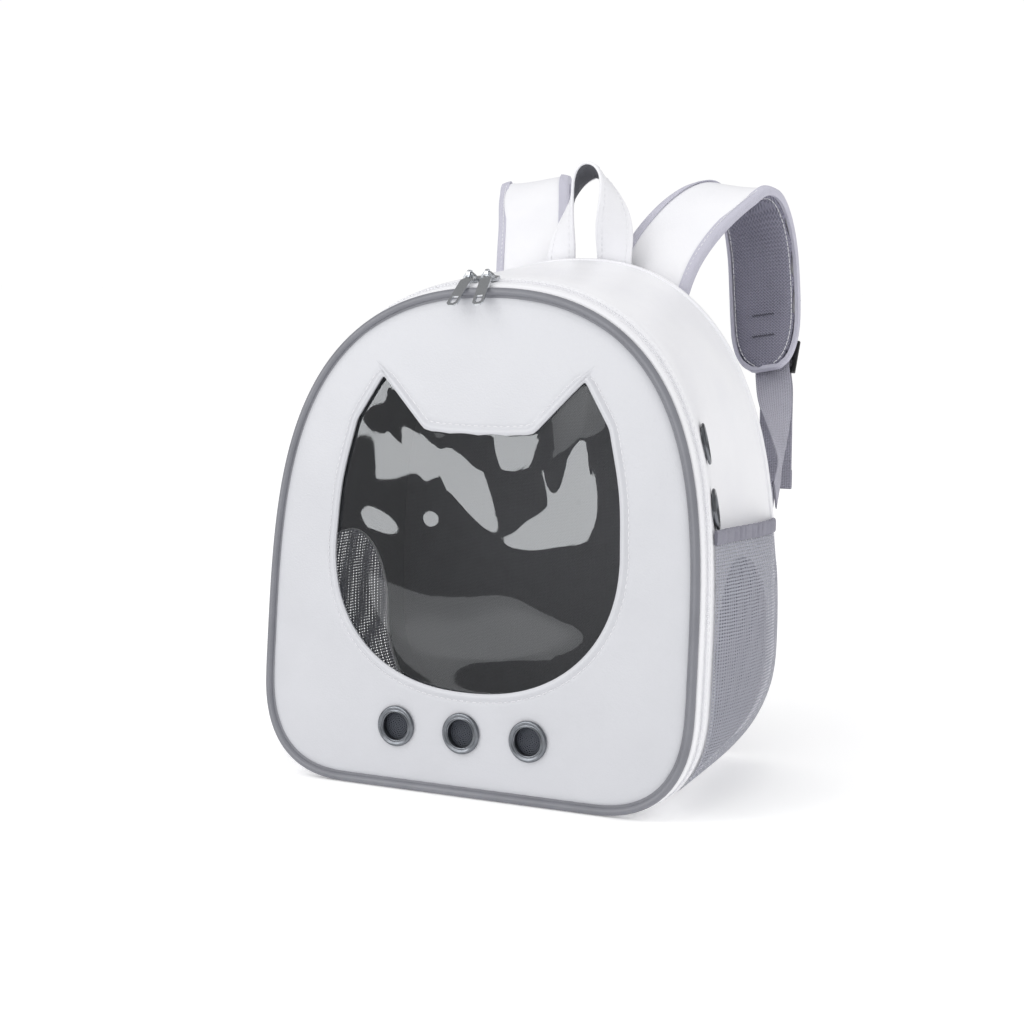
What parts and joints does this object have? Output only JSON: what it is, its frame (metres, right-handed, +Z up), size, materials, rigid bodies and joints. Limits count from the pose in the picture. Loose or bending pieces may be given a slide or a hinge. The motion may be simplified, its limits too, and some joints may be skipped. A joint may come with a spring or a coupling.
{
  "type": "pet carrier backpack",
  "caption": "Upright soft pet carrier backpack with a cat-head clear front window, zipped arched door, round vents, side mesh windows and pockets, handle and padded shoulder straps.",
  "frame": {"origin": "on the floor under the middle of the base", "axes": "+Z up, +X to the right as the front is faced, front towards -Y, shoulder straps towards +Y"},
  "size_m": [0.3346, 0.3028, 0.413],
  "materials": {
    "panel_cloth": "smooth coated cloth, satin",
    "white_cloth": "white coated cloth",
    "piping": "grey coated piping",
    "clear_sheet": "clear flexible sheet",
    "lining": "dark grey woven lining",
    "padded_mesh": "grey spacer mesh",
    "net": "light grey net",
    "vent_net": "dark net",
    "webbing": "woven webbing",
    "metal": "dark polished eyelets",
    "zip_metal": "polished zip parts",
    "buckle": "black moulded plastic"
  },
  "bodies": {
    "carrier": {"front_panel": "panel_cloth", "front_window": "clear_sheet", "front_piping": "piping", "door_rim": "white_cloth", "zip_chain": "white_cloth", "door_hinge": "white_cloth", "gusset_strip": "white_cloth", "vent_ring_front_left": "metal", "vent_mesh_front_left": "vent_net", "vent_ring_front_middle": "metal", "vent_mesh_front_middle": "vent_net", "vent_ring_front_right": "metal", "vent_mesh_front_right": "vent_net", "zip_slider_left": "zip_metal", "zip_slider_right": "zip_metal", "body_gusset": "white_cloth", "base_panel": "white_cloth", "back_panel": "padded_mesh", "lining_gusset": "lining", "lining_back": "lining", "floor_mat": "lining", "vent_ring_side_upper_right": "metal", "vent_mesh_side_upper_right": "vent_net", "vent_ring_side_upper_left": "metal", "vent_mesh_side_upper_left": "vent_net", "vent_ring_side_lower_right": "metal", "vent_mesh_side_lower_right": "vent_net", "vent_ring_side_lower_left": "metal", "vent_mesh_side_lower_left": "vent_net", "side_mesh_right": "net", "side_mesh_left": "net", "side_pocket_right": "net", "side_pocket_left": "net", "pocket_binding_right": "piping", "pocket_binding_left": "piping", "carry_handle": "white_cloth", "strap_pad_right": "padded_mesh", "strap_cover_right": "white_cloth", "strap_pad_left": "padded_mesh", "strap_cover_left": "white_cloth", "lock_tab_right": "webbing", "lock_tab_left": "webbing", "ladder_lock_right": "buckle", "ladder_lock_left": "buckle", "strap_webbing_right": "webbing", "strap_webbing_left": "webbing", "anchor_tab_right": "webbing", "anchor_tab_left": "webbing"},
    "left_pull": {"zip_pull_left": "zip_metal"},
    "right_pull": {"zip_pull_right": "zip_metal"}
  },
  "joints": [
    {"name": "left_pull_swing", "type": "hinge", "parent": "carrier", "child": "left_pull", "pos_m": [-0.0184, -0.0468, 0.33537], "axis": [-1, 0, 0], "range_deg": [0, 150]},
    {"name": "right_pull_swing", "type": "hinge", "parent": "carrier", "child": "right_pull", "pos_m": [-0.0054, -0.04673, 0.336], "axis": [-1, 0, 0], "range_deg": [0, 150]}
  ]
}
